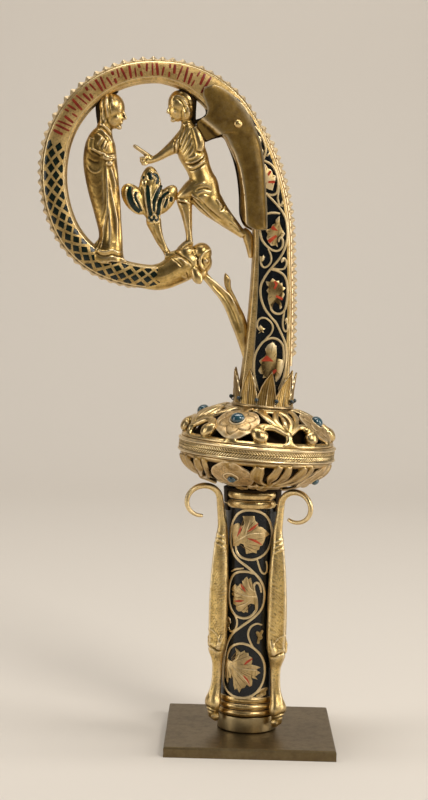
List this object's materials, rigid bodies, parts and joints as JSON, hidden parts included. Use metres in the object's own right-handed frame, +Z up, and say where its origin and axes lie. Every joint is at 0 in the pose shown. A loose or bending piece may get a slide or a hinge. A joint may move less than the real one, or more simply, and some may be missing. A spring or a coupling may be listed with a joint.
{
  "type": "crosier head",
  "caption": "Gilt enamelled crosier head: crook with Annunciation figures and serpent, leaf crown, pierced knop, socket with lizards, on a square stand.",
  "frame": {"origin": "middle of the stand plate's underside, where it rests on a table", "axes": "+Z up along the socket; the crook lies in the XZ plane with its volute towards -X; -Y is the front that shows the figures' faces in profile"},
  "size_m": [0.1325, 0.0764, 0.2862],
  "materials": {
    "gilt": "satin",
    "enamel": "gloss",
    "stone": "gloss",
    "bronze": "satin",
    "brass": "satin"
  },
  "bodies": {
    "root": {"stand_plate": "bronze", "stand_spigot": "brass", "socket": "enamel", "lizard_left": "gilt", "lizard_right": "gilt", "lizard_back": "gilt", "knop_lower": "gilt", "knop_band": "gilt", "knop_upper": "gilt", "cabochon_upper_1": "stone", "cabochon_upper_2": "stone", "cabochon_upper_3": "stone", "cabochon_upper_4": "stone", "cabochon_lower_1": "stone", "cabochon_lower_2": "stone", "cabochon_lower_3": "stone", "cabochon_lower_4": "stone", "leaf_crown": "gilt", "crown_bead_1": "stone", "crown_bead_2": "stone", "crown_bead_3": "stone", "crown_bead_4": "stone", "crown_bead_5": "stone", "crown_bead_6": "stone", "crown_bead_7": "stone", "crown_bead_8": "stone", "crown_bead_9": "stone", "crook": "gilt", "virgin": "gilt", "angel": "gilt", "tree": "gilt", "wing_front": "gilt", "wing_back": "gilt", "wing_rivet": "gilt"}
  },
  "joints": []
}
